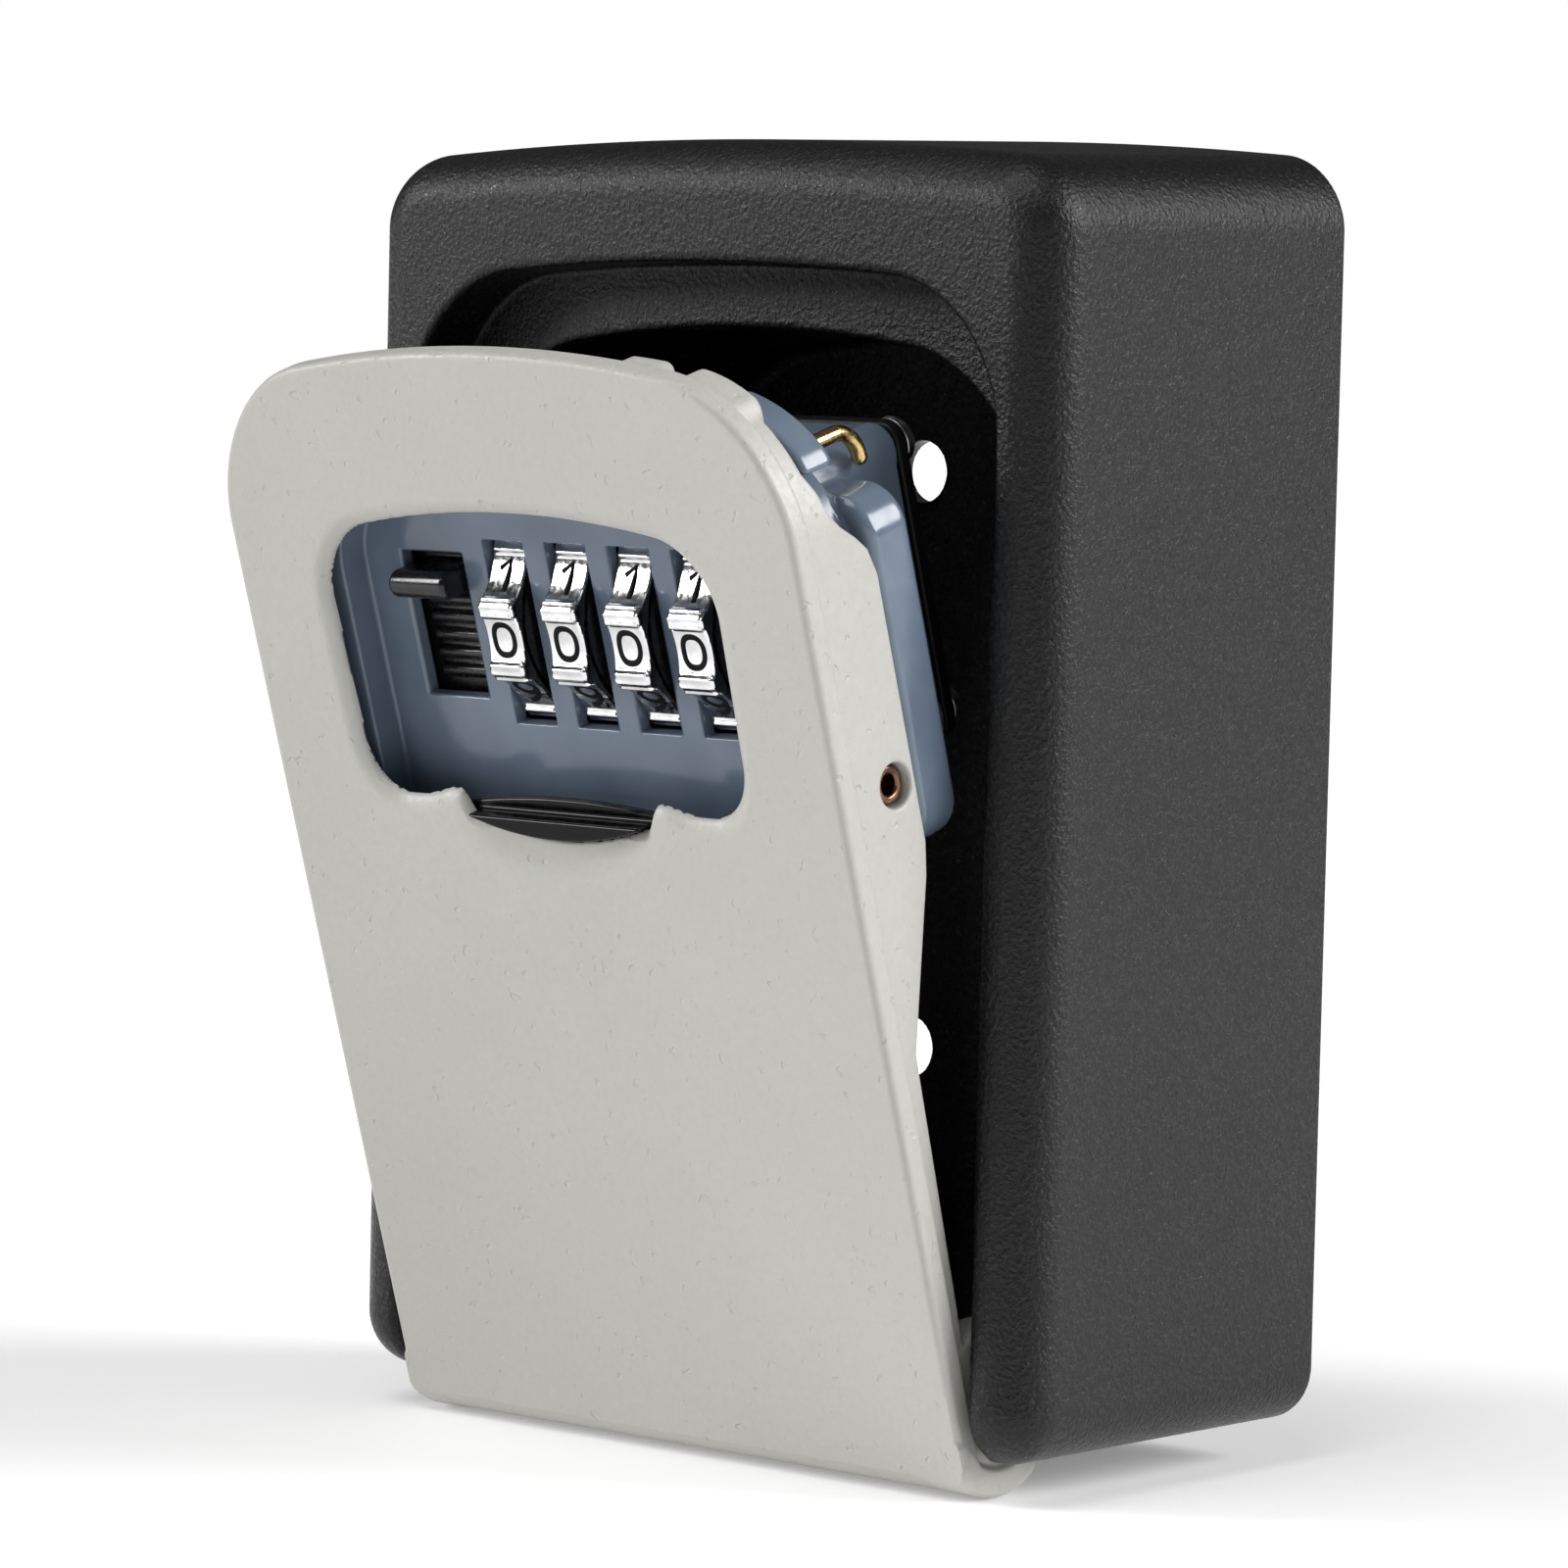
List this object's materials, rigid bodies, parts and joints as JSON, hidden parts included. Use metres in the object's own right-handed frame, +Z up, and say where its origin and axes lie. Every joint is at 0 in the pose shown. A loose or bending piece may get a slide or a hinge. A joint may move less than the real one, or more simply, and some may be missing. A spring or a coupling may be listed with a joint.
{
  "type": "key lock box",
  "caption": "Wall-mounted combination key lock box: cast case, drop-down door hinged at the bottom, number dials, opening slide, weather shutter and an inside key hook.",
  "frame": {"origin": "centre of the case's flat wall-mounting face", "axes": "+Z up, +Y into the wall, +X to the right of someone who faces the door"},
  "size_m": [0.085, 0.074, 0.1243],
  "materials": {
    "case_black": "black powder coat with a fine grain",
    "door_grey": "warm light grey satin powder coat with a fine grain",
    "housing_blue": "glossy blue-grey moulded plastic",
    "black_plastic": "semi-gloss black moulded plastic",
    "chrome": "bright chrome plate with black engraved digits",
    "steel": "plain zinc-plated steel",
    "brass": "drawn brass, slightly dulled"
  },
  "bodies": {
    "case": {"rear_case": "case_black"},
    "door": {"door_shell": "door_grey", "lock_housing": "housing_blue", "lock_back_plate": "black_plastic", "back_plate_screw_1": "steel", "back_plate_screw_2": "steel", "back_plate_screw_3": "steel", "back_plate_screw_4": "steel", "dial_shaft": "steel", "shaft_clip_left": "steel", "shaft_clip_right": "steel", "detent_spring": "steel", "latch_spring": "steel", "key_hook": "brass", "side_pin_left": "brass", "side_pin_right": "brass", "hinge_pin_left": "steel", "hinge_pin_right": "steel"},
    "dial_1": {"dial_ring_1": "chrome", "dial_hub_1": "black_plastic"},
    "dial_2": {"dial_ring_2": "chrome", "dial_hub_2": "black_plastic"},
    "dial_3": {"dial_ring_3": "chrome", "dial_hub_3": "black_plastic"},
    "dial_4": {"dial_ring_4": "chrome", "dial_hub_4": "black_plastic"},
    "latch": {"open_slide": "black_plastic", "latch_plate": "steel"},
    "shutter": {"weather_shutter": "black_plastic"},
    "reset": {"reset_lever": "black_plastic"}
  },
  "joints": [
    {"name": "door_hinge", "type": "hinge", "parent": "case", "child": "door", "pos_m": [0, -0.0375, -0.0555], "axis": [1, 0, 0], "range_deg": [-17.5, 72.5]},
    {"name": "dial_1_turn", "type": "hinge", "parent": "door", "child": "dial_1", "pos_m": [-0.00605, -0.05297, 0.01585], "axis": [1, 0, 0], "continuous": true},
    {"name": "dial_2_turn", "type": "hinge", "parent": "door", "child": "dial_2", "pos_m": [0.0017, -0.05297, 0.01585], "axis": [1, 0, 0], "continuous": true},
    {"name": "dial_3_turn", "type": "hinge", "parent": "door", "child": "dial_3", "pos_m": [0.00945, -0.05297, 0.01585], "axis": [1, 0, 0], "continuous": true},
    {"name": "dial_4_turn", "type": "hinge", "parent": "door", "child": "dial_4", "pos_m": [0.0172, -0.05297, 0.01585], "axis": [1, 0, 0], "continuous": true},
    {"name": "open_slide_pull", "type": "slide", "parent": "door", "child": "latch", "axis": [0, 0.3007, -0.9537], "range_m": [0, 0.004], "stiffness_N_per_m": 200, "springref_m": -0.004, "deforming": ["latch_spring"]},
    {"name": "shutter_slide", "type": "slide", "parent": "door", "child": "shutter", "axis": [0, -0.3007, 0.9537], "range_m": [0, 0.028]},
    {"name": "reset_lever_turn", "type": "hinge", "parent": "door", "child": "reset", "pos_m": [-0.013, -0.03876, 0.01268], "axis": [0, 0.9537, 0.3007], "range_deg": [-90, 0]}
  ]
}
